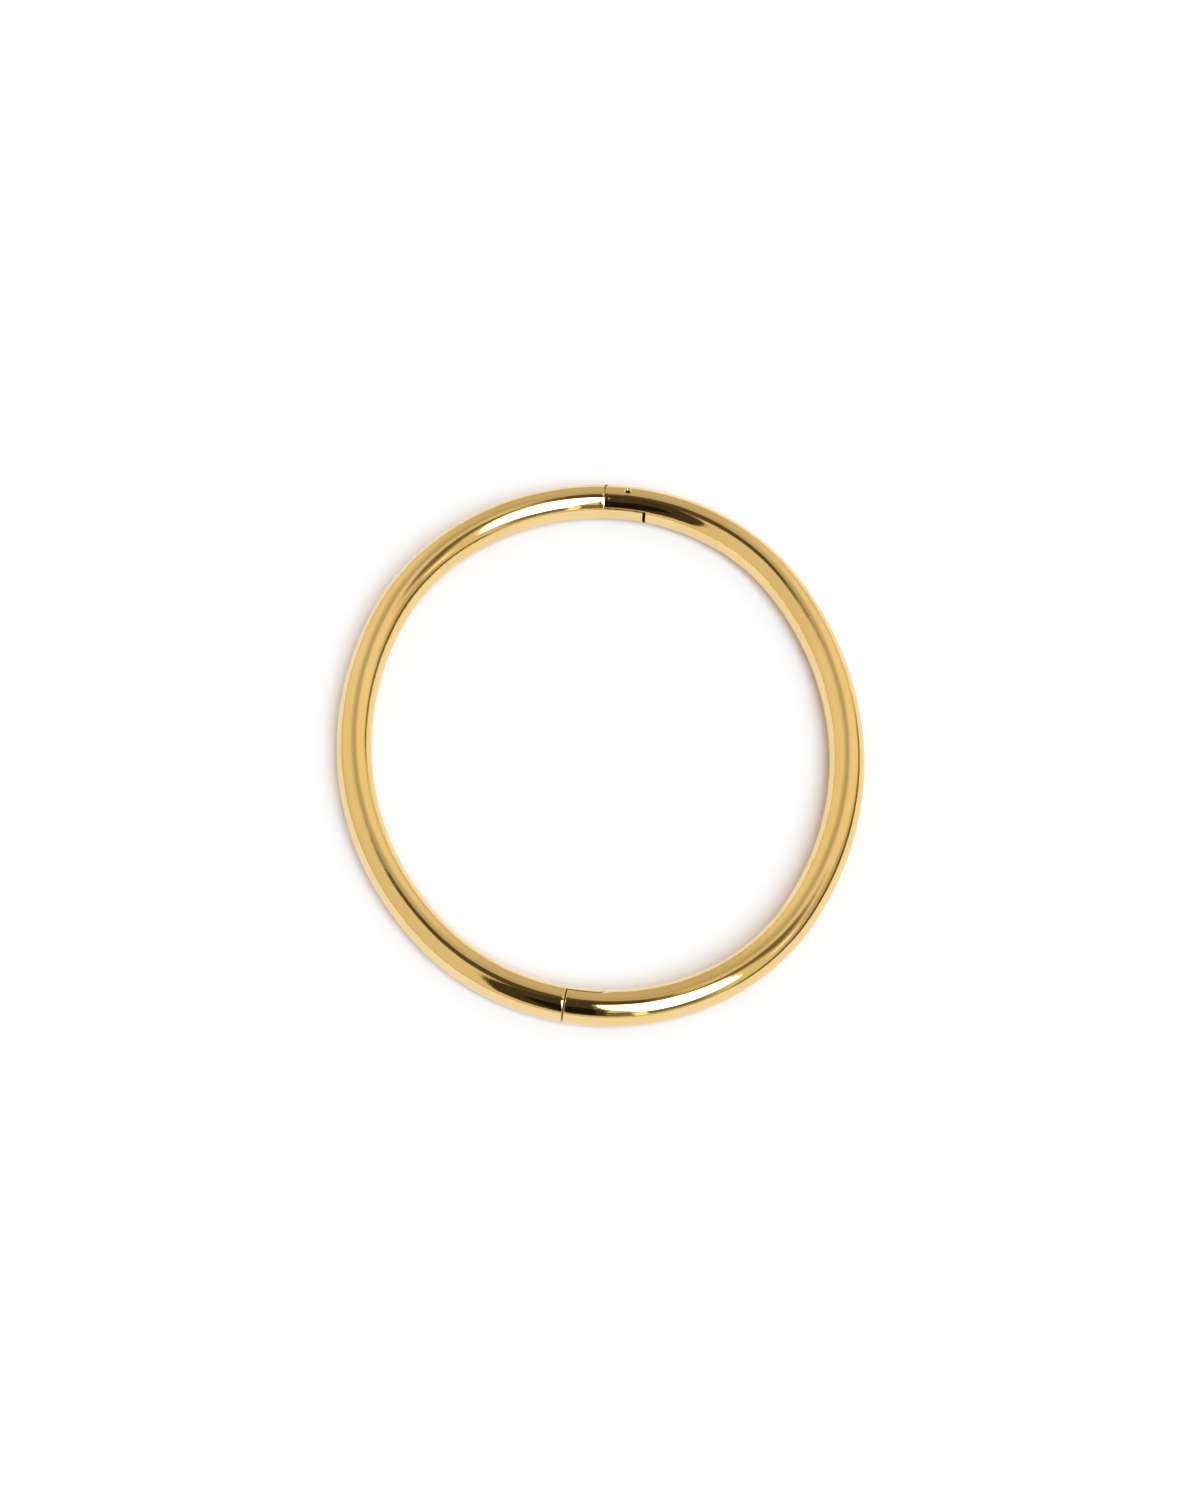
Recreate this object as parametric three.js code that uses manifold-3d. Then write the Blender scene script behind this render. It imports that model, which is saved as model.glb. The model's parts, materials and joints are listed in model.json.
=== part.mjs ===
// Hinged oval bangle: two half hoops of round bar, joined by a riveted hinge at one end and a lapped clasp
// at the other. Millimetres, +Z up. The bangle lies flat on z = 0 with its long axis along Y, the hinge at
// +Y and the clasp at -Y.
import * as THREE from "three";
import { mergeVertices } from "three/addons/utils/BufferGeometryUtils.js";
import Module from "manifold-3d";

const wasm = await Module();
wasm.setup();

// The round bar that both half hoops are bent from
const BAR_DIAMETER = 4;
const BAR_SIDES = 20;

// The oval, at the middle of the bar. Each quarter is an end arc and a side arc that share a tangent
const HALF_LENGTH = 33;
const RIGHT_HALF_WIDTH = 27.5;
const LEFT_HALF_WIDTH = 28.5;
const HINGE_END_TURN = 62; // degrees that the bar turns from the long axis to the side arc
const CLASP_END_TURN = 53;
const BEND_STEP = 2.2; // longest straight facet along the bend

// The hinge, measured along the bar. The leaf of the left half turns between the two cheeks of the right half
const PIN_FROM_LONG_AXIS = 5.5;
const PIN_OUTWARD = 0.5; // the pin's axis lies this far outside the middle of the bar
const PIN_DIAMETER = 1;
const PIN_RUNNING_GAP = 0.08;
const LEAF_HEIGHT = 2.1;
const LEAF_SIDE_GAP = 0.1;
const LEAF_REACH = 2.35; // from the pin's axis to the end of the leaf
const LEAF_END_GAP = 0.25;
const CHEEK_REACH = 2.6; // from the pin's axis to the ends of the cheeks
const CHEEK_CORNER_GAP = 0.1; // between the cheeks' rounded outer corners and the turning shoulder

// The clasp, measured along the bar. The left half's tongue lies flush in the inner side of the right half
const CLASP_SEAM_FROM_LONG_AXIS = 7.2;
const TONGUE_LENGTH = 4.15;
const TONGUE_FACE_INWARD = 1; // the tongue's flat face lies this far inside the middle of the bar
const TONGUE_FACE_GAP = 0.15;

// The fine seam where the two halves meet, at both ends
const SEAM_GAP = 0.25;

// Worked out from the sizes above
const barRadius = BAR_DIAMETER / 2;
const beyondBar = 2 * BAR_DIAMETER;
const pinRadius = PIN_DIAMETER / 2;
const hingeShoulder = PIN_FROM_LONG_AXIS - CHEEK_REACH - SEAM_GAP;

const gold = new THREE.MeshStandardMaterial({ color: 0xe3bd74, roughness: 0.08, metalness: 1 });
const wornGold = new THREE.MeshStandardMaterial({ color: 0xdab36a, roughness: 0.15, metalness: 1 });

// One quarter of the oval: the two radii follow from the half width and the turn of the end arc
function quarterOf(halfWidth, endTurn) {
  const turn = THREE.MathUtils.degToRad(endTurn);
  const apart = (HALF_LENGTH - halfWidth) / (Math.cos(turn) + Math.sin(turn) - 1);
  const endRadius = HALF_LENGTH - apart * Math.cos(turn);
  const sideRadius = halfWidth + apart * Math.sin(turn);
  return { halfWidth, turn, endRadius, sideRadius };
}

// The oval as eight arcs, clockwise from the hinge end, each starting where the last one ends
function ovalArcs() {
  const arcs = [];
  let start = Math.PI / 2;
  const add = (x, y, radius, turn) => {
    arcs.push({ x, y, radius, turn, start });
    start -= turn;
  };
  const addEnd = ({ endRadius, turn }, towardsHinge) => {
    add(0, towardsHinge * (HALF_LENGTH - endRadius), endRadius, turn);
  };
  const addSide = ({ sideRadius, turn, halfWidth }, towardsRight) => {
    add(towardsRight * (halfWidth - sideRadius), 0, sideRadius, Math.PI / 2 - turn);
  };
  const hingeRight = quarterOf(RIGHT_HALF_WIDTH, HINGE_END_TURN);
  const claspRight = quarterOf(RIGHT_HALF_WIDTH, CLASP_END_TURN);
  const claspLeft = quarterOf(LEFT_HALF_WIDTH, CLASP_END_TURN);
  const hingeLeft = quarterOf(LEFT_HALF_WIDTH, HINGE_END_TURN);
  addEnd(hingeRight, 1);
  addSide(hingeRight, 1);
  addSide(claspRight, 1);
  addEnd(claspRight, -1);
  addEnd(claspLeft, -1);
  addSide(claspLeft, -1);
  addSide(hingeLeft, -1);
  addEnd(hingeLeft, 1);
  return arcs;
}

const arcs = ovalArcs();
const arcLength = (arc) => arc.radius * arc.turn;
const ovalLength = arcs.reduce((sum, arc) => sum + arcLength(arc), 0);
const claspEnd = arcs.slice(0, 4).reduce((sum, arc) => sum + arcLength(arc), 0);

// A point by its length along the oval, clockwise from the hinge end, and its offset outward from it
function ovalPoint(length, outward = 0) {
  let left = THREE.MathUtils.euclideanModulo(length, ovalLength);
  let i = 0;
  while (i < arcs.length - 1 && left > arcLength(arcs[i])) {
    left -= arcLength(arcs[i]);
    i += 1;
  }
  const arc = arcs[i];
  const angle = arc.start - left / arc.radius;
  const reach = arc.radius + outward;
  return new THREE.Vector2(arc.x + reach * Math.cos(angle), arc.y + reach * Math.sin(angle));
}

// The whole bar as a closed ring, with a flat facet along its underside
function barGeometry() {
  const stations = [];
  let from = 0;
  for (const arc of arcs) {
    const steps = Math.ceil(arcLength(arc) / BEND_STEP);
    for (let i = 0; i < steps; i++) stations.push(from + (arcLength(arc) * i) / steps);
    from += arcLength(arc);
  }
  const cornerRadius = barRadius / Math.cos(Math.PI / BAR_SIDES);
  const positions = [];
  for (const station of stations) {
    for (let side = 0; side < BAR_SIDES; side++) {
      const angle = ((side + 0.5) * 2 * Math.PI) / BAR_SIDES;
      const point = ovalPoint(station, cornerRadius * Math.cos(angle));
      positions.push(point.x, point.y, barRadius + cornerRadius * Math.sin(angle));
    }
  }
  const index = [];
  for (let i = 0; i < stations.length; i++) {
    const next = (i + 1) % stations.length;
    for (let side = 0; side < BAR_SIDES; side++) {
      const a = i * BAR_SIDES + side;
      const b = i * BAR_SIDES + ((side + 1) % BAR_SIDES);
      const c = next * BAR_SIDES + ((side + 1) % BAR_SIDES);
      const d = next * BAR_SIDES + side;
      index.push(a, b, c, a, c, d);
    }
  }
  const geometry = new THREE.BufferGeometry();
  geometry.setAttribute("position", new THREE.Float32BufferAttribute(positions, 3));
  geometry.setIndex(index);
  return geometry;
}

// A closed geometry as a solid that can be cut and joined
function solidOf(geometry) {
  geometry.deleteAttribute("normal");
  geometry.deleteAttribute("uv");
  const merged = mergeVertices(geometry);
  const vertProperties = merged.getAttribute("position").array;
  const triVerts = new Uint32Array(merged.index.array);
  return new wasm.Manifold(new wasm.Mesh({ numProp: 3, vertProperties, triVerts }));
}

function meshOf(name, solid, material) {
  const { vertProperties, triVerts } = solid.getMesh();
  const geometry = new THREE.BufferGeometry();
  geometry.setAttribute("position", new THREE.BufferAttribute(vertProperties, 3));
  geometry.setIndex(new THREE.BufferAttribute(triVerts, 1));
  geometry.computeVertexNormals();
  const mesh = new THREE.Mesh(geometry, material);
  mesh.name = name;
  return mesh;
}

// The space beside the oval between two lengths along it and two offsets across it, between two heights
function zone(from, to, inner, outer, low = -barRadius, high = BAR_DIAMETER + barRadius) {
  const steps = Math.max(1, Math.ceil((to - from) / BEND_STEP));
  const along = Array.from({ length: steps + 1 }, (_, i) => from + ((to - from) * i) / steps);
  const outline = [
    ...along.map((length) => ovalPoint(length, inner)),
    ...along.reverse().map((length) => ovalPoint(length, outer)),
  ];
  const geometry = new THREE.ExtrudeGeometry(new THREE.Shape(outline), {
    depth: high - low,
    bevelEnabled: false,
  });
  return solidOf(geometry.translate(0, 0, low));
}

// An upright cylinder about the hinge pin's axis
function aboutPin(radius, low = -barRadius, high = BAR_DIAMETER + barRadius) {
  const axis = ovalPoint(PIN_FROM_LONG_AXIS, PIN_OUTWARD);
  const geometry = new THREE.CylinderGeometry(radius, radius, high - low, 24);
  geometry.rotateX(Math.PI / 2);
  geometry.translate(axis.x, axis.y, (low + high) / 2);
  return solidOf(geometry);
}

// The leaf, or with the gaps added the slot that it turns in: square inside the pin, round outside it
function knuckle(reach, height) {
  const low = barRadius - height / 2;
  const high = barRadius + height / 2;
  const beforeSeam = hingeShoulder - BAR_DIAMETER;
  const neck = zone(beforeSeam, PIN_FROM_LONG_AXIS, -beyondBar, beyondBar, low, high);
  const innerEnd = zone(beforeSeam, PIN_FROM_LONG_AXIS + reach, -beyondBar, PIN_OUTWARD, low, high);
  return neck.add(innerEnd).add(aboutPin(reach, low, high));
}

const bar = solidOf(barGeometry());
const claspSeam = claspEnd + CLASP_SEAM_FROM_LONG_AXIS;
const tongueEnd = claspSeam - TONGUE_LENGTH;
const pinBore = aboutPin(pinRadius + PIN_RUNNING_GAP);

function leftHalfHoop() {
  const bend = bar.intersect(zone(claspSeam, ovalLength + hingeShoulder, -beyondBar, beyondBar));
  const tongue = bar.intersect(
    zone(tongueEnd, claspSeam + BAR_DIAMETER, -beyondBar, -TONGUE_FACE_INWARD - TONGUE_FACE_GAP),
  );
  const leaf = bar.intersect(knuckle(LEAF_REACH, LEAF_HEIGHT));
  return bend.add(tongue).add(leaf).subtract(pinBore);
}

function rightHalfHoop() {
  const cheekEnd = PIN_FROM_LONG_AXIS - CHEEK_REACH;
  const bend = bar.intersect(zone(cheekEnd, tongueEnd - SEAM_GAP, -beyondBar, beyondBar));
  const outerLap = bar.intersect(
    zone(tongueEnd - BAR_DIAMETER, claspSeam - SEAM_GAP, -TONGUE_FACE_INWARD, beyondBar),
  );
  const slot = knuckle(LEAF_REACH + LEAF_END_GAP, LEAF_HEIGHT + 2 * LEAF_SIDE_GAP);
  const cornerReach = CHEEK_REACH + SEAM_GAP - CHEEK_CORNER_GAP;
  const outerCorners = zone(cheekEnd - BAR_DIAMETER, PIN_FROM_LONG_AXIS, PIN_OUTWARD, beyondBar);
  const roundedOff = outerCorners.subtract(aboutPin(cornerReach));
  return bend.add(outerLap).subtract(slot).subtract(roundedOff).subtract(pinBore);
}

// The pin is riveted and polished down to the bar's own surface at both ends
function hingePin() {
  return bar.intersect(aboutPin(pinRadius));
}

const bangle = new THREE.Group();
bangle.add(meshOf("left_half_hoop", leftHalfHoop(), gold));
bangle.add(meshOf("right_half_hoop", rightHalfHoop(), gold));
bangle.add(meshOf("hinge_pin", hingePin(), wornGold));
bangle.position.x = (LEFT_HALF_WIDTH - RIGHT_HALF_WIDTH) / 2;

export default bangle;
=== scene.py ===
import json
import math

import bmesh
import bpy
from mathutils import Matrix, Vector

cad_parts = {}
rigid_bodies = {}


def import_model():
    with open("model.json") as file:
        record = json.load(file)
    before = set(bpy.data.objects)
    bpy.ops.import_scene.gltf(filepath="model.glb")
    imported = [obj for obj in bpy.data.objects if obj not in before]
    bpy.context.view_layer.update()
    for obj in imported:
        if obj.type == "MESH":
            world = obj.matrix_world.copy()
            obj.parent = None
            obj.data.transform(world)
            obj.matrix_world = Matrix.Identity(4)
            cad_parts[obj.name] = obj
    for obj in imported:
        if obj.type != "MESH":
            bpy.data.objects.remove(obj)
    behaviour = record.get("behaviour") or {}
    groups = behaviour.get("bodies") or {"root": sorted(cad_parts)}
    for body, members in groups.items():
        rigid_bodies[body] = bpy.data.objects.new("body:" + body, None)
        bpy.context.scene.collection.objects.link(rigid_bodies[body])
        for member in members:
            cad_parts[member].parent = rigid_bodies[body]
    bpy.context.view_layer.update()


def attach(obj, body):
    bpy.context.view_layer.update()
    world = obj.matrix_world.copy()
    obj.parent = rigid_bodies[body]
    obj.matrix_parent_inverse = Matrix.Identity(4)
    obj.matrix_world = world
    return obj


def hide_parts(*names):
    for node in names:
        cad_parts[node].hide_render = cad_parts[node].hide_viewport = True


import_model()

# The left half hoop
# Solid 4 mm round brass bar, bent cold to half of the oval, then gold plated and mirror polished. Its hinge
# end is filed down to a flat leaf, and its clasp end to a tongue, a slice of the bar's inner side.
MM = 0.001
SAME_LENGTH = 1e-9  # lengths along the oval that differ by less are one length
SAME_POINT = 1e-7  # vertices nearer to each other than this are one vertex
CUT_SLACK = 1e-8  # a vertex this near to a flat cut counts as on it
NEAR_LENGTH = 0.02 * MM  # a vertex this near to a length counts as part of the end there
BAR_RADIUS = 2 * MM
BAR_SIDES = 96
ROUND_SLACK = 0.03 * MM  # a vertex this near to the bar's round surface counts as on it
HALF_LENGTH = 33 * MM
RIGHT_HALF_WIDTH = 27.5 * MM
LEFT_HALF_WIDTH = 28.5 * MM
HINGE_END_TURN = math.radians(62)
CLASP_END_TURN = math.radians(53)
BEND_STEP = 0.6 * MM
PIN_FROM_LONG_AXIS = 5.5 * MM
CHEEK_REACH = 2.6 * MM
HINGE_GAP = 0.1 * MM
LEAF_REACH = 2.2 * MM
LEAF_HALF_HEIGHT = 1.0 * MM
LEAF_CORNER_BEARINGS = (5, 15, 25, 35)
PIN_OUTWARD = 0.5 * MM
PIN_SIDES = 48
BORE_RADIUS = 0.53 * MM
BORE_FLARE = 0.05 * MM
BORE_SLACK = 0.01 * MM  # a vertex this near to the bore's wall counts as on it
CLASP_SEAM_FROM_LONG_AXIS = 7.2 * MM
TONGUE_LENGTH = 4.15 * MM
TONGUE_FACE = -1.06 * MM
SEAM_ROUNDING = 0.18 * MM
END_BAND = 2 * SEAM_ROUNDING  # room for the rounding between an end and the next ring of the bend
LAP_ROUNDING = 0.03 * MM
EDGE_STEPS = 3
SHARP_EDGE = math.radians(35)
SHADED_SHARP = math.radians(40)
JOINT_RADIUS = 1.81 * MM  # a face whose middle is deeper in the bar than this is inside a joint
# The hinge's slot takes painted shade, and the clasp's takes a painted glint.
HINGE_PAINTED_SHADE_SLOT = 1  # material slots, after the gold plate in slot 0
CLASP_PAINTED_GLINT_SLOT = 2


def quarter(half_width, turn):
    """The end arc and the side arc of a quarter of the oval: its centre's reach, its radius and its turn."""
    apart = (HALF_LENGTH - half_width) / (math.cos(turn) + math.sin(turn) - 1)
    end_radius = HALF_LENGTH - apart * math.cos(turn)
    side_radius = half_width + apart * math.sin(turn)
    end_arc = (HALF_LENGTH - end_radius, end_radius, turn)
    side_arc = (half_width - side_radius, side_radius, math.pi / 2 - turn)
    return end_arc, side_arc


def oval():
    """The eight arcs of the bar's middle line, clockwise from the hinge end, and their length together."""
    middle = (LEFT_HALF_WIDTH - RIGHT_HALF_WIDTH) / 2
    hinge_right, side_a = quarter(RIGHT_HALF_WIDTH, HINGE_END_TURN)
    clasp_right, side_b = quarter(RIGHT_HALF_WIDTH, CLASP_END_TURN)
    clasp_left, side_c = quarter(LEFT_HALF_WIDTH, CLASP_END_TURN)
    hinge_left, side_d = quarter(LEFT_HALF_WIDTH, HINGE_END_TURN)
    order = [(hinge_right, 0, 1), (side_a, 1, 0), (side_b, 1, 0), (clasp_right, 0, -1),
             (clasp_left, 0, -1), (side_c, -1, 0), (side_d, -1, 0), (hinge_left, 0, 1)]
    arcs, start, along = [], math.pi / 2, 0
    for (reach, radius, turn), x, y in order:
        centre = Vector((middle + x * reach, y * reach, BAR_RADIUS))
        arcs.append({"centre": centre, "radius": radius, "turn": turn, "start": start, "from": along})
        start -= turn
        along += radius * turn
    return arcs, along


ARCS, OVAL_LENGTH = oval()
CLASP_END = ARCS[4]["from"]
CLASP_SEAM = CLASP_END + CLASP_SEAM_FROM_LONG_AXIS
TONGUE_END = CLASP_SEAM - TONGUE_LENGTH
HINGE_SHOULDER = PIN_FROM_LONG_AXIS - CHEEK_REACH - HINGE_GAP


def arc_at(along, forward=True):
    """The arc at a length along the oval, and how far into it that length is."""
    along = along % OVAL_LENGTH
    for arc in reversed(ARCS):
        into = along - arc["from"]
        if into > SAME_LENGTH or (forward and into > -SAME_LENGTH):
            return arc, max(into, 0)
    return ARCS[-1], ARCS[-1]["radius"] * ARCS[-1]["turn"]


def place(along, outward=0, up=0):
    """A point of the bar, by its length along the oval and its offsets from the bar's middle."""
    arc, into = arc_at(along)
    angle = arc["start"] - into / arc["radius"]
    reach = arc["radius"] + outward
    return arc["centre"] + Vector((reach * math.cos(angle), reach * math.sin(angle), up))


def turned(point, arc):
    """How far clockwise of an arc's start a point lies, about the arc's centre."""
    angle = math.atan2(point[1] - arc["centre"].y, point[0] - arc["centre"].x)
    return (arc["start"] - angle + math.pi) % (2 * math.pi) - math.pi


def arc_beside(point):
    """The arc of the oval that a point lies beside."""
    return min(ARCS, key=lambda arc: abs(turned(point, arc) - arc["turn"] / 2) - arc["turn"] / 2)


def across(point):
    """A point's offset outward from the bar's middle line."""
    arc = arc_beside(point)
    return (Vector(point[:2]) - arc["centre"].xy).length - arc["radius"]


def above_middle(point):
    """A point's height above the bar's middle line."""
    return point[2] - BAR_RADIUS


def from_middle(point):
    """A point's distance from the bar's middle line."""
    return math.hypot(across(point), above_middle(point))


def length_of(point):
    """A point's length along the oval, clockwise from the hinge end."""
    arc = arc_beside(point)
    return arc["from"] + turned(point, arc) * arc["radius"]


def pick(kind, wanted):
    """In edit mode, select only the vertices, edges or faces for which wanted is true."""
    bpy.ops.mesh.select_mode(type={"verts": "VERT", "edges": "EDGE", "faces": "FACE"}[kind])
    bpy.ops.mesh.select_all(action="DESELECT")
    mesh = bmesh.from_edit_mesh(bpy.context.object.data)
    for item in getattr(mesh, kind):
        item.select_set(bool(wanted(item)))
    bmesh.update_edit_mesh(bpy.context.object.data)


def start_bar(name, along):
    """A bare ring of the bar's section, upright across the oval, left open in edit mode."""
    bpy.ops.object.select_all(action="DESELECT")
    arc, into = arc_at(along)
    outward = arc["start"] - into / arc["radius"]
    bpy.ops.mesh.primitive_circle_add(vertices=BAR_SIDES, radius=BAR_RADIUS, location=place(along),
                                      rotation=(math.pi / 2, 0, outward))
    bar = bpy.context.object
    bar.name = bar.data.name = name
    bpy.ops.object.transform_apply(location=True, rotation=True, scale=True)
    bpy.ops.object.mode_set(mode="EDIT")
    bpy.ops.mesh.select_all(action="SELECT")
    return bar


def bend(*stops):
    """Sweep what is selected along the oval, from each of the lengths given to the next."""
    for start, end in zip(stops, stops[1:]):
        clockwise = end > start
        while abs(end - start) > SAME_LENGTH:
            arc, into = arc_at(start, forward=clockwise)
            room = arc["radius"] * arc["turn"] - into if clockwise else into
            reach = min(room, abs(end - start))
            steps = math.ceil((reach - SAME_LENGTH) / BEND_STEP)
            bpy.ops.mesh.spin(steps=steps, angle=reach / arc["radius"], center=arc["centre"],
                              axis=(0, 0, 1 if clockwise else -1))
            start += reach if clockwise else -reach


def centre_of(face):
    """The middle of a face's corners."""
    return face.calc_center_median()


def near(along, other):
    """Whether two lengths along the oval are the same one, also where it closes."""
    return abs((along - other + OVAL_LENGTH / 2) % OVAL_LENGTH - OVAL_LENGTH / 2) < NEAR_LENGTH


def close_end(along):
    """Close the bar's open ring at this length with one face."""
    pick("edges", lambda edge: edge.is_boundary and all(near(length_of(v.co), along) for v in edge.verts))
    bpy.ops.mesh.edge_face_add()


def score(along, at, value):
    """Cut the end face in two along a straight line, where its rim's offset at() is nearest to the value."""
    mesh = bmesh.from_edit_mesh(bpy.context.object.data)
    rim = [v.co.copy() for v in mesh.verts if near(length_of(v.co), along)]
    ends = []
    for side in (1, -1):
        half = [co for co in rim if side * (above_middle(co) if at is across else across(co)) > 0]
        ends.append(min(half, key=lambda co: abs(at(co) - value)))
    pick("verts", lambda v: any((v.co - end).length < SAME_POINT for end in ends))
    bpy.ops.mesh.vert_connect()


def end_faces(along, wanted):
    """Select the faces that close the bar across this length and whose centre is wanted."""
    pick("faces", lambda face: (all(near(length_of(v.co), along) for v in face.verts)
                                and wanted(centre_of(face))))


def clasp_edge(edge):
    """An edge of an end face at the clasp, on the bar's round outside."""
    if abs(length_of(edge.verts[0].co) - CLASP_END) > OVAL_LENGTH / 4:
        return False
    flat = sum(all(near(length_of(v.co), length_of(face.verts[0].co)) for v in face.verts)
               for face in edge.link_faces)
    round_out = all(abs(from_middle(v.co) - BAR_RADIUS) < ROUND_SLACK for v in edge.verts)
    return flat == 1 and round_out


def plane_by_pin(reach, bearing, forward=1):
    """A point and a normal of the upright plane this far from the pin, turned outward by the bearing."""
    arc, into = arc_at(PIN_FROM_LONG_AXIS)
    angle = arc["start"] - into / arc["radius"]
    ahead = Vector((math.sin(angle), -math.cos(angle), 0)) * forward
    outward = Vector((math.cos(angle), math.sin(angle), 0))
    normal = math.cos(bearing) * ahead + math.sin(bearing) * outward
    return place(PIN_FROM_LONG_AXIS, PIN_OUTWARD) + reach * normal, normal


def file_round(reach, bearings, forward, wanted):
    """File a corner of the chosen faces round about the pin's axis, in short flats."""
    for bearing in bearings:
        point, normal = plane_by_pin(reach, math.radians(bearing), forward)
        pick("faces", lambda face: wanted(centre_of(face)))
        bpy.ops.mesh.bisect(plane_co=point, plane_no=normal, use_fill=True, clear_outer=True,
                            threshold=CUT_SLACK)


def break_edges(width, wanted):
    """Round the chosen sharp edges, as polishing does."""
    pick("edges", lambda edge: edge.is_manifold and edge.calc_face_angle(0) > SHARP_EDGE and wanted(edge))
    bpy.ops.mesh.bevel(offset=width, offset_type="OFFSET", segments=EDGE_STEPS, affect="EDGES",
                       clamp_overlap=True)


def rod_about_pin(radius):
    """An upright round rod about the pin's axis, longer than the bar is high."""
    bpy.ops.object.select_all(action="DESELECT")
    bpy.ops.mesh.primitive_cylinder_add(vertices=PIN_SIDES, radius=radius, depth=4 * BAR_RADIUS,
                                        location=place(PIN_FROM_LONG_AXIS, PIN_OUTWARD))
    return bpy.context.object


def carve(piece, operation, tool):
    """Cut the piece with the tool, or down to it, and take the tool away."""
    bpy.ops.object.select_all(action="DESELECT")
    piece.select_set(True)
    bpy.context.view_layer.objects.active = piece
    carving = piece.modifiers.new("carving", "BOOLEAN")
    carving.operation = operation
    carving.solver = "EXACT"
    carving.object = tool
    bpy.ops.object.modifier_apply(modifier=carving.name)
    bpy.data.objects.remove(tool)


def drill_for_pin(bar):
    """Drill the pin's bore through the hinge end, and break its edge where it comes out."""
    bpy.ops.object.mode_set(mode="OBJECT")
    carve(bar, "DIFFERENCE", rod_about_pin(BORE_RADIUS))
    bpy.ops.object.mode_set(mode="EDIT")
    axis = place(PIN_FROM_LONG_AXIS, PIN_OUTWARD).xy
    break_edges(BORE_FLARE, lambda edge: all(abs((v.co.xy - axis).length - BORE_RADIUS) < BORE_SLACK
                                             and from_middle(v.co) > BAR_RADIUS - ROUND_SLACK
                                             for v in edge.verts))


def close_shape():
    """Turn every face of the piece outward and leave edit mode."""
    bpy.ops.mesh.select_all(action="SELECT")
    bpy.ops.mesh.normals_make_consistent(inside=False)
    bpy.ops.object.mode_set(mode="OBJECT")


def finish_bar(bar, materials, body, node):
    """Plate the bar, paint shade and a glint on the sawn faces inside its joints, shade it and replace the
    plain solid.
    """
    for material in materials:
        bar.data.materials.append(material)
    for finish, end in ((HINGE_PAINTED_SHADE_SLOT, 1), (CLASP_PAINTED_GLINT_SLOT, -1)):
        pick("faces", lambda face: (end * centre_of(face).y > 0
                                    and from_middle(centre_of(face)) < JOINT_RADIUS))
        bar.active_material_index = finish
        bpy.ops.object.material_slot_assign()
    bpy.ops.mesh.select_all(action="SELECT")
    bpy.ops.mesh.remove_doubles(threshold=SAME_POINT)
    close_shape()
    bpy.ops.object.shade_smooth_by_angle(angle=SHADED_SHARP)
    weighted = bar.modifiers.new("even polish", "WEIGHTED_NORMAL")
    weighted.keep_sharp = True
    bpy.ops.object.modifier_apply(modifier=weighted.name)
    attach(bar, body)
    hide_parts(node)


left = start_bar("left_half_polished", CLASP_SEAM)
bend(CLASP_SEAM, CLASP_SEAM + END_BAND, OVAL_LENGTH + HINGE_SHOULDER - END_BAND, OVAL_LENGTH + HINGE_SHOULDER)
close_end(CLASP_SEAM)
score(CLASP_SEAM, across, TONGUE_FACE)
close_end(HINGE_SHOULDER)
score(HINGE_SHOULDER, above_middle, LEAF_HALF_HEIGHT)
score(HINGE_SHOULDER, above_middle, -LEAF_HALF_HEIGHT)
end_faces(CLASP_SEAM, lambda centre: across(centre) < TONGUE_FACE)
bend(CLASP_SEAM, TONGUE_END)
end_faces(HINGE_SHOULDER, lambda centre: abs(above_middle(centre)) < LEAF_HALF_HEIGHT / 2)
bend(HINGE_SHOULDER, PIN_FROM_LONG_AXIS + LEAF_REACH)
file_round(LEAF_REACH, LEAF_CORNER_BEARINGS, 1,
           lambda centre: HINGE_SHOULDER < length_of(centre) < PIN_FROM_LONG_AXIS + 2 * LEAF_REACH)
break_edges(SEAM_ROUNDING, clasp_edge)
break_edges(LAP_ROUNDING, lambda edge: True)
drill_for_pin(left)


class Wire:
    """A node's output socket, with arithmetic that adds Math nodes."""

    def __init__(self, tree, socket=None):
        self.tree = tree
        self.socket = socket

    def node(self, kind, inputs, settings=None, output=0):
        """Add any node: its settings come first, then the values or wires of its sockets."""
        made = self.tree.nodes.new("ShaderNode" + kind)
        for name, value in (settings or {}).items():
            setattr(made, name, value)
        for name, value in inputs.items():
            if isinstance(value, Wire):
                self.tree.links.new(value.socket, made.inputs[name])
            else:
                made.inputs[name].default_value = value
        return Wire(self.tree, made.outputs[output])

    def into(self, socket):
        """Lead the wire into a socket."""
        self.tree.links.new(self.socket, socket)

    def maths(self, operation, first, second):
        return self.node("Math", {0: first, 1: second}, {"operation": operation})

    def __add__(self, other):
        return self.maths("ADD", self, other)

    def __sub__(self, other):
        return self.maths("SUBTRACT", self, other)

    def __rsub__(self, other):
        return self.maths("SUBTRACT", other, self)

    def __mul__(self, other):
        return self.maths("MULTIPLY", self, other)

    def either(self, other):
        return self.maths("MAXIMUM", self, other)

    __radd__ = __add__
    __rmul__ = __mul__


def metal(name):
    """A metal, with the inputs of its shader and the coordinates that its patterns lie in."""
    material = bpy.data.materials.new(name)
    material.use_nodes = True
    inputs = material.node_tree.nodes["Principled BSDF"].inputs
    inputs["Metallic"].default_value = 1
    return material, inputs, Wire(material.node_tree).node("TexCoord", {}, output="Object")


def pattern(on_bar, scale, detail, roughness=0.5):
    """Clouds of noise in the metal, scale of them to a metre."""
    return on_bar.node("TexNoise", {"Vector": on_bar, "Scale": scale, "Detail": detail,
                                    "Roughness": roughness})


def stretch(wire, low, high):
    """From 0 to 1 as the wire goes from low to high."""
    return wire.node("MapRange", {"Value": wire, "From Min": low, "From Max": high})


def blend(factor, first, second):
    """From the first colour to the second as the factor goes from 0 to 1."""
    return factor.node("Mix", {"Factor": factor, "A": first, "B": second}, {"data_type": "RGBA"}, "Result")


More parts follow.
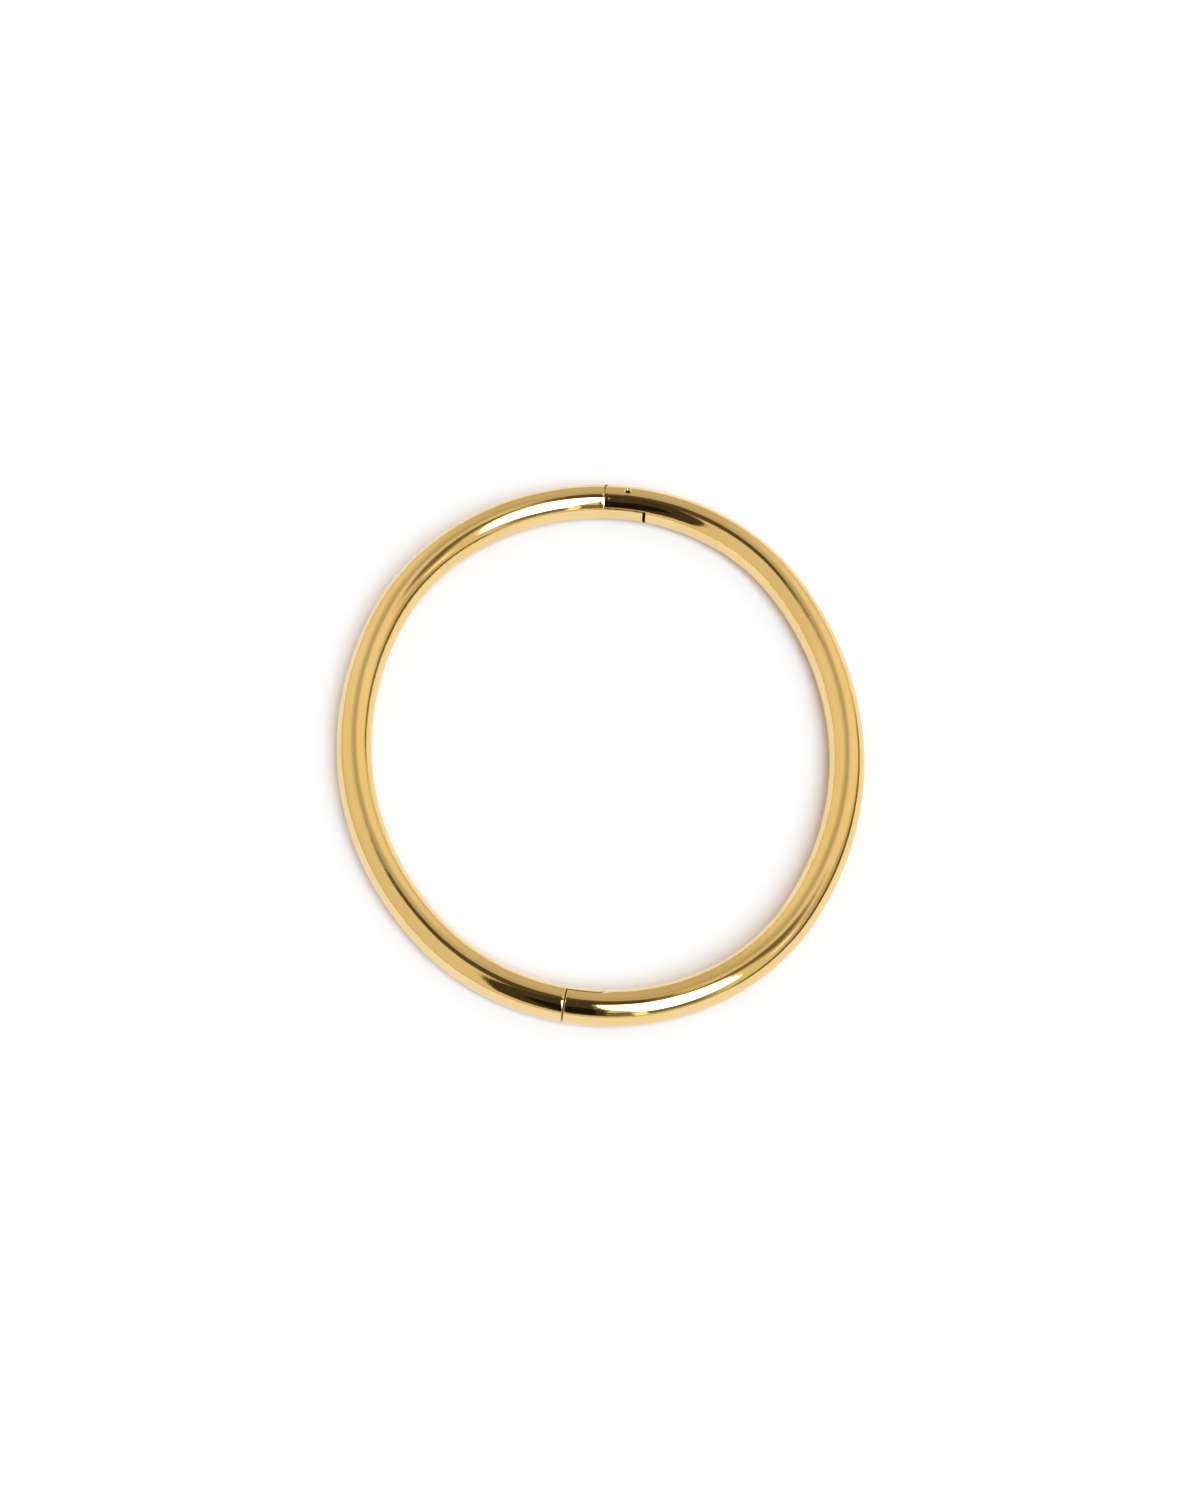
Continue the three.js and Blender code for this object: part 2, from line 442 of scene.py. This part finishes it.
def polished_gold(name, colour, rich_colour, roughness, haze):
    """Gold plate: slow drifts of tone, a little haze from handling, and hairline polishing marks."""
    material, inputs, on_bar = metal(name)
    drift = pattern(on_bar, 90, 2)
    cloud = pattern(on_bar, 900, 4, 0.6)
    hairline = pattern(on_bar, 5200, 2)
    wave = pattern(on_bar, 330, 1)
    blend(stretch(drift, 0.35, 0.65), colour, rich_colour).into(inputs["Base Color"])
    (roughness + haze * stretch(cloud, 0.45, 0.75)).into(inputs["Roughness"])
    height = hairline + 20 * cloud + 80 * wave
    on_bar.node("Bump", {"Height": height, "Strength": 1, "Distance": POLISH_DEPTH}).into(inputs["Normal"])
    return material


def sawn_face_with_painted_light(name, bright, dark):
    """The sawn faces inside a joint, which no buff reaches: blotches of two tones of painted light, finely
    scored.
    """
    material, inputs, on_bar = metal(name)
    blotch = pattern(on_bar, 1400, 3, 0.6)
    scratches = pattern(on_bar, 9000, 2)
    blend(stretch(blotch, 0.35, 0.65), bright, dark).into(inputs["Base Color"])
    (0.4 + 0.2 * blotch).into(inputs["Roughness"])
    on_bar.node("Bump", {"Height": scratches, "Strength": 0.5, "Distance": SAW_DEPTH}).into(inputs["Normal"])
    return material


POLISH_DEPTH = 0.0002 * MM
SAW_DEPTH = 0.01 * MM
GOLD = (0.885, 0.653, 0.325, 1)
RICH_GOLD = (0.857, 0.618, 0.277, 1)
# Dark brass is painted shade: it darkens the gaps in the hinge and the hollow of the pin.
BRASS_PAINTED_SHADE = (0.3, 0.19, 0.07, 1)
DEEPER_BRASS_PAINTED_SHADE = (0.16, 0.1, 0.04, 1)
# Gold made orange is a painted glint, gold reflecting gold, in the seam of the clasp.
SAWN_GOLD_PAINTED_GLINT = (0.93, 0.55, 0.18, 1)
DARKER_SAWN_GOLD_PAINTED_GLINT = (0.83, 0.46, 0.14, 1)
gold = polished_gold("polished_gold_plate", GOLD, RICH_GOLD, roughness=0.045, haze=0.05)
hinge_painted_shade = sawn_face_with_painted_light("brass_with_painted_shade_in_the_hinge", BRASS_PAINTED_SHADE, DEEPER_BRASS_PAINTED_SHADE)
clasp_painted_glint = sawn_face_with_painted_light("sawn_gold_with_painted_glint_in_the_clasp", SAWN_GOLD_PAINTED_GLINT, DARKER_SAWN_GOLD_PAINTED_GLINT)
bar_finishes = (gold, hinge_painted_shade, clasp_painted_glint)
finish_bar(left, bar_finishes, "left_half", "left_half_hoop")

# The right half hoop
# The same bar, bent to the other half and a little slimmer across. Its hinge end is slotted into a fork, two
# cheeks that hold the leaf, and its clasp end keeps the outer part of the bar, which laps over the tongue.
FORK_HALF_HEIGHT = 1.11 * MM
FORK_DEPTH = 2.6 * MM
CHEEK_CORNER = 2.6 * MM
CHEEK_CORNER_BEARINGS = (14, 24)
OUTER_LAP_FACE = -1.0 * MM
CLASP_GAP = 0.13 * MM
TONGUE_GAP = 0.32 * MM

fork_floor = PIN_FROM_LONG_AXIS + FORK_DEPTH
notch = TONGUE_END - TONGUE_GAP
lap_end = CLASP_SEAM - CLASP_GAP
cheek_end = PIN_FROM_LONG_AXIS - CHEEK_REACH
right = start_bar("right_half_polished", fork_floor)
bend(fork_floor, notch)
close_end(fork_floor)
score(fork_floor, above_middle, FORK_HALF_HEIGHT)
score(fork_floor, above_middle, -FORK_HALF_HEIGHT)
close_end(notch)
score(notch, across, OUTER_LAP_FACE)
for cheek in (1, -1):
    end_faces(fork_floor, lambda centre: cheek * above_middle(centre) > FORK_HALF_HEIGHT)
    bend(fork_floor, cheek_end + END_BAND, cheek_end)
    file_round(CHEEK_CORNER, CHEEK_CORNER_BEARINGS, -1,
               lambda centre: length_of(centre) < fork_floor and cheek * above_middle(centre) > 0)
end_faces(notch, lambda centre: across(centre) > OUTER_LAP_FACE)
bend(notch, lap_end - END_BAND, lap_end)
break_edges(SEAM_ROUNDING, clasp_edge)
break_edges(LAP_ROUNDING, lambda edge: True)
drill_for_pin(right)
finish_bar(right, bar_finishes, "right_half", "right_half_hoop")

# The hinge pin
# A 1 mm brass rivet, hollow at both ends, on which the leaf turns. A punch spreads its mouths until they sit
# tight in the fork, and it is filed flush with the round bar and plated.
PIN_RADIUS = 0.52 * MM
PIN_BELOW_SURFACE = 0.04 * MM
MOUTH_RINGS = [(0.03, 0), (0.07, 0.04), (0.07, 0.052), (0.07, 0.066)]  # width and drop of each, in mm
HOLLOW_DEPTH = 0.35 * MM
FACING = 0.99  # cosine of the widest angle at which a face still faces the crown of the bar
PIN_SHADED_SHARP = math.radians(45)
PIN_GOLD = (0.88, 0.64, 0.31, 1)
RICH_PIN_GOLD = (0.85, 0.59, 0.26, 1)
UP = Vector((0, 0, 1))

pin = rod_about_pin(PIN_RADIUS)
pin.name = pin.data.name = "riveted_pin"
bpy.ops.object.transform_apply(location=True, rotation=True, scale=True)
bpy.ops.object.mode_set(mode="EDIT")
pin.data.materials.append(polished_gold("pin_gold_plate", PIN_GOLD, RICH_PIN_GOLD, roughness=0.07, haze=0.06))
pin.data.materials.append(hinge_painted_shade)
crown_tilt = math.asin(PIN_OUTWARD / BAR_RADIUS)
crown_outward = plane_by_pin(0, math.pi / 2)[1]
for side in (1, -1):
    crown = math.sin(crown_tilt) * crown_outward + side * math.cos(crown_tilt) * UP
    surface = place(PIN_FROM_LONG_AXIS, PIN_OUTWARD, side * BAR_RADIUS * math.cos(crown_tilt))
    bpy.ops.mesh.select_all(action="SELECT")
    bpy.ops.mesh.bisect(plane_co=surface - PIN_BELOW_SURFACE * crown, plane_no=crown, use_fill=True,
                        clear_outer=True, threshold=CUT_SLACK)
    pick("faces", lambda face: face.normal.dot(crown) > FACING)
    for ring, drop in MOUTH_RINGS:
        bpy.ops.mesh.inset(thickness=ring * MM, depth=-drop * MM)
    bpy.ops.mesh.extrude_region_move(TRANSFORM_OT_translate={"value": -HOLLOW_DEPTH * crown})
    bpy.ops.mesh.select_more()
    # The hollow takes the dark brass as painted shade in the recess.
    pin.active_material_index = 1
    bpy.ops.object.material_slot_assign()
close_shape()
flush_from = PIN_FROM_LONG_AXIS - 2 * PIN_RADIUS
flush_to = PIN_FROM_LONG_AXIS + 2 * PIN_RADIUS
flush_shape = start_bar("flush_shape", flush_from)
bend(flush_from, flush_to)
close_end(flush_from)
close_end(flush_to)
close_shape()
carve(pin, "INTERSECT", flush_shape)
bpy.ops.object.shade_smooth_by_angle(angle=PIN_SHADED_SHARP)
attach(pin, "right_half")
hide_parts("hinge_pin")

# The floor
# A plain sheet of matt white card that the bangle lies on.
FLOOR_SIZE = 3.0
CARD_WHITE = (0.98, 0.865, 0.865, 1)

bpy.ops.object.select_all(action="DESELECT")
bpy.ops.mesh.primitive_plane_add(size=FLOOR_SIZE, location=(0, 0, 0))
floor = bpy.context.object
floor.name = "white_floor"
card = bpy.data.materials.new("matt_white_card")
card.use_nodes = True
card_inputs = card.node_tree.nodes["Principled BSDF"].inputs
card_inputs["Base Color"].default_value = CARD_WHITE
card_inputs["Roughness"].default_value = 0.9
card_inputs["Specular IOR Level"].default_value = 0
floor.data.materials.append(card)

# The camera
# It stands on the clasp's side and looks down steeply, with the oval's long axis a little left of upright.
CAMERA_DISTANCE = 0.38
CAMERA_TILT = math.radians(29)
LONG_AXIS_LEAN = math.radians(5)
PIXELS_ACROSS = 1200
PIXELS_PER_METRE = 8738
OVAL_RIGHT_OF_MIDDLE = 0.00053
OVAL_BELOW_MIDDLE = 0.00029
SENSOR_WIDTH = 36
NEAREST_SEEN = 0.01

heading = Vector((math.sin(LONG_AXIS_LEAN), math.cos(LONG_AXIS_LEAN), 0))
towards = math.sin(CAMERA_TILT) * heading - math.cos(CAMERA_TILT) * UP
sideways = towards.cross(UP).normalized()
upward = sideways.cross(towards)
oval_middle = Vector(((LEFT_HALF_WIDTH - RIGHT_HALF_WIDTH) / 2, 0, 0))
camera = bpy.data.objects.new("camera", bpy.data.cameras.new("camera"))
bpy.context.scene.collection.objects.link(camera)
camera.location = oval_middle - CAMERA_DISTANCE * towards
aim = oval_middle - OVAL_RIGHT_OF_MIDDLE * sideways + OVAL_BELOW_MIDDLE * upward
camera.rotation_euler = (aim - camera.location).to_track_quat("-Z", "Y").to_euler()
camera.data.sensor_fit = "HORIZONTAL"
camera.data.sensor_width = SENSOR_WIDTH
camera.data.lens = PIXELS_PER_METRE * CAMERA_DISTANCE / PIXELS_ACROSS * SENSOR_WIDTH
camera.data.clip_start = NEAREST_SEEN
bpy.context.scene.camera = camera

# The studio light
# Pale warm walls, a large cool window with a bright gap by its sill, and dark against them the ceiling, the
# camera and its arm, the shade on the left and the skirting on the right.
WALLS = 0.76
WALL_TINT = (1, 0.905, 0.68, 1)
DARK_TINT = (1, 0.82, 0.48, 1)
WINDOW = 6.0
DAYLIGHT_TINT = (0.75, 1.05, 1.25, 1)
EXPOSURE = 0.115
SILL_GAP = 1.3
SEEN_BACKGROUND = 0.95  # what the camera itself sees past the floor
SEEN_TINT = (1, 1, 1, 1)


def studio_way(bearing, tilt):
    """The way at this bearing, counterclockwise from the camera's right, and tilt from up, in degrees."""
    angle, tilt = math.radians(bearing) - LONG_AXIS_LEAN, math.radians(tilt)
    return Vector((math.sin(tilt) * math.cos(angle), math.sin(tilt) * math.sin(angle), math.cos(tilt)))


def studio_fade(direction, axis, low, high):
    """From 0 to 1, smoothly, as a direction's share along the axis goes from low to high."""
    share = direction.node("VectorMath", {0: direction, 1: axis}, {"operation": "DOT_PRODUCT"}, "Value")
    return direction.node("MapRange", {"Value": share, "From Min": low, "From Max": high},
                          {"interpolation_type": "SMOOTHSTEP"})


def studio_card(direction, corners):
    """A flat card: each corner has its bearing and tilt, and the softness of the edge to the next corner."""
    ways = [studio_way(bearing, tilt) for bearing, tilt, _ in corners]
    middle = sum(ways, Vector())
    inside = 1
    for (_, _, softness), here, there in zip(corners, ways, ways[1:] + ways[:1]):
        edge = here.cross(there).normalized()
        edge = edge if edge.dot(middle) > 0 else -edge
        inside = studio_fade(direction, edge, -softness, softness) * inside
    return inside


def studio_spot(direction, bearing, tilt, core, reach):
    """A round patch, full inside its core and gone at its reach, both in degrees from its middle."""
    low, high = math.cos(math.radians(reach)), math.cos(math.radians(core))
    return studio_fade(direction, studio_way(bearing, tilt), low, high)


world = bpy.data.worlds.new("studio")
bpy.context.scene.world = world
world.use_nodes = True
around = Wire(world.node_tree).node("TexCoord", {}, output="Generated")
right_wall = 0.15 * studio_spot(around, 38, 52, 5, 36) + 0.4 * studio_spot(around, -17, 56, 2, 9)
left_wall = 0.10 * studio_spot(around, 135, 60, 5, 35)
far_wall = 0.17 * studio_card(around, [(60, 24, 0.1), (118, 26, 0.15), (108, 82, 0.1), (70, 82, 0.15)])
far_lamp = 0.07 * studio_spot(around, 84, 31, 3, 12)
right_corner = 0.25 * studio_spot(around, 0, 76, 2, 28)
skirting = 0.7 * studio_card(around, [(-45, 79, 0.05), (35, 79, 0.1), (35, 101, 0.04), (-45, 101, 0.1)])
low_down = 0.09 * (1 - studio_fade(around, UP, 0.1, 0.25))
walls = WALLS + right_wall + left_wall - far_wall - far_lamp - right_corner - low_down
ceiling = 0.88 * studio_card(around, [(54, 12, 0.05), (100, 27.5, 0.05), (141, 28.5, 0.07), (-173, 17, 0.06),
                                      (-45, 11, 0.08)])
camera_arm = 0.76 * studio_card(around, [(-22, 10, 0.1), (38, 9, 0.1), (31, 23, 0.1), (14, 42, 0.16),
                                         (-14, 46, 0.08)])
shade = 0.93 * studio_card(around, [(90, 24, 0.03), (-148, 34, 0.04), (-138, 70, 0.06), (-104, 79, 0.06),
                                    (-90, 78, 0.02), (-90, 20, 0.01)])
camera_body = 0.985 * studio_card(around, [(-129, 28, 0.06), (-128, 46, 0.06), (-110, 70, 0.06),
                                           (-93, 74, 0.03), (-92, 30, 0.1)])
sill = 0.72 * studio_card(around, [(-92, 56, 0.05), (-54, 56, 0.12), (-50, 80, 0.06), (-92, 80, 0.03)])
gap = SILL_GAP * studio_card(around, [(-82, 60, 0.012), (-77, 60, 0.012), (-76, 80, 0.012), (-81, 80, 0.012)])
window = studio_card(around, [(-100, 8.5, 0.05), (-16, 17.5, 0.03), (-38, 54, 0.04), (-62, 60, 0.04),
                              (-77, 59, 0.02), (-91, 34, 0.015)])
dark = ceiling.either(camera_arm).either(skirting).either(shade).either(camera_body).either(sill)
studio = (walls * (1 - dark) + gap) * (1 - window) + WINDOW * window
tint = blend(window, blend(dark, WALL_TINT, DARK_TINT), DAYLIGHT_TINT)
to_camera = around.node("LightPath", {}, output="Is Camera Ray")
background = world.node_tree.nodes["Background"].inputs
blend(to_camera, tint, SEEN_TINT).into(background["Color"])
(studio * (1 - to_camera) + SEEN_BACKGROUND * to_camera).into(background["Strength"])
bpy.context.scene.view_settings.view_transform = "Standard"
bpy.context.scene.view_settings.exposure = EXPOSURE
